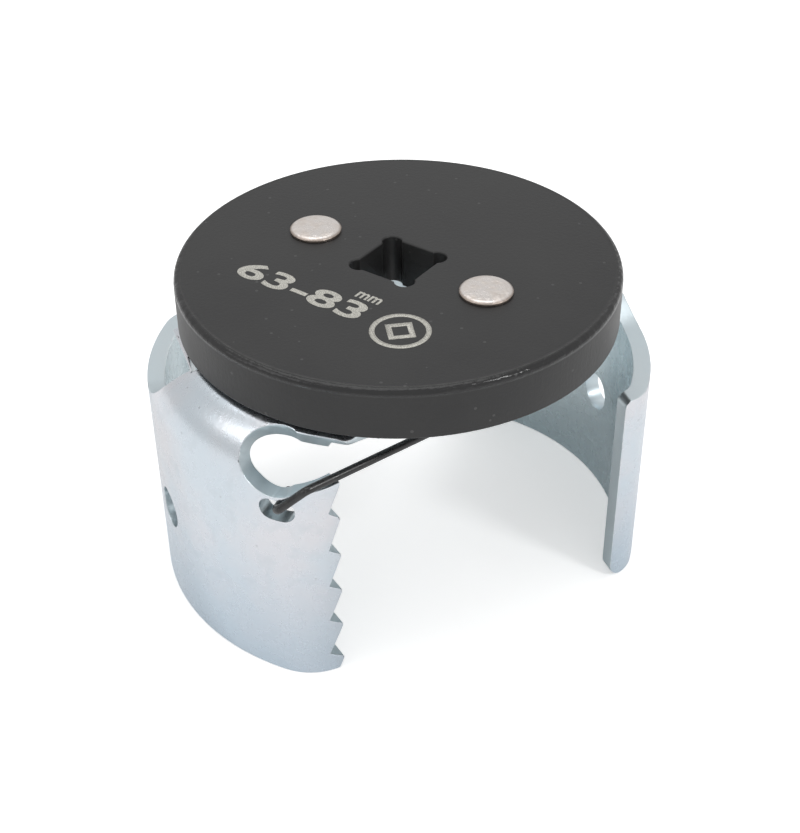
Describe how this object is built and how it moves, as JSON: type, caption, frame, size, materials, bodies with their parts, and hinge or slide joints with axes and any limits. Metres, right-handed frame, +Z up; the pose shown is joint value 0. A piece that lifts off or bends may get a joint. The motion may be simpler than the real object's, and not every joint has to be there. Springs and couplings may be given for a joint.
{
  "type": "two-jaw oil filter wrench",
  "caption": "Round drive plate with a square hole, carrying two toothed sheet-steel jaws that swing on rivets and are sprung in to grip a round canister.",
  "frame": {"origin": "on the drive axis, level with the lower edges of the two jaws", "axes": "+Z up along the drive axis, out of the square hole; +X from the drive axis to the left jaw's rivet"},
  "size_m": [0.0694, 0.074, 0.0503],
  "materials": {
    "plate_black": "satin black coating with a fine grain",
    "zinc_sheet": "pale blue-white zinc plating, soft sheen",
    "rivet_steel": "bare steel, lightly polished",
    "washer_steel": "dull steel",
    "spring_wire": "black spring steel"
  },
  "bodies": {
    "drive": {"drive_plate": "plate_black", "left_pivot_rivet": "rivet_steel", "right_pivot_rivet": "rivet_steel", "left_pivot_washer": "washer_steel", "right_pivot_washer": "washer_steel"},
    "left_jaw_body": {"left_jaw": "zinc_sheet", "left_jaw_spring": "spring_wire"},
    "right_jaw_body": {"right_jaw": "zinc_sheet", "right_jaw_spring": "spring_wire"}
  },
  "joints": [
    {"name": "left_jaw_swing", "type": "hinge", "parent": "drive", "child": "left_jaw_body", "pos_m": [0.015, 0, 0.04], "axis": [0, 0, 1], "range_deg": [-5, 58], "stiffness_Nm_per_rad": 0.24, "deforming": ["left_jaw_spring"]},
    {"name": "right_jaw_swing", "type": "hinge", "parent": "drive", "child": "right_jaw_body", "pos_m": [-0.015, 0, 0.04], "axis": [0, 0, 1], "range_deg": [-5, 58], "stiffness_Nm_per_rad": 0.24, "deforming": ["right_jaw_spring"]}
  ]
}
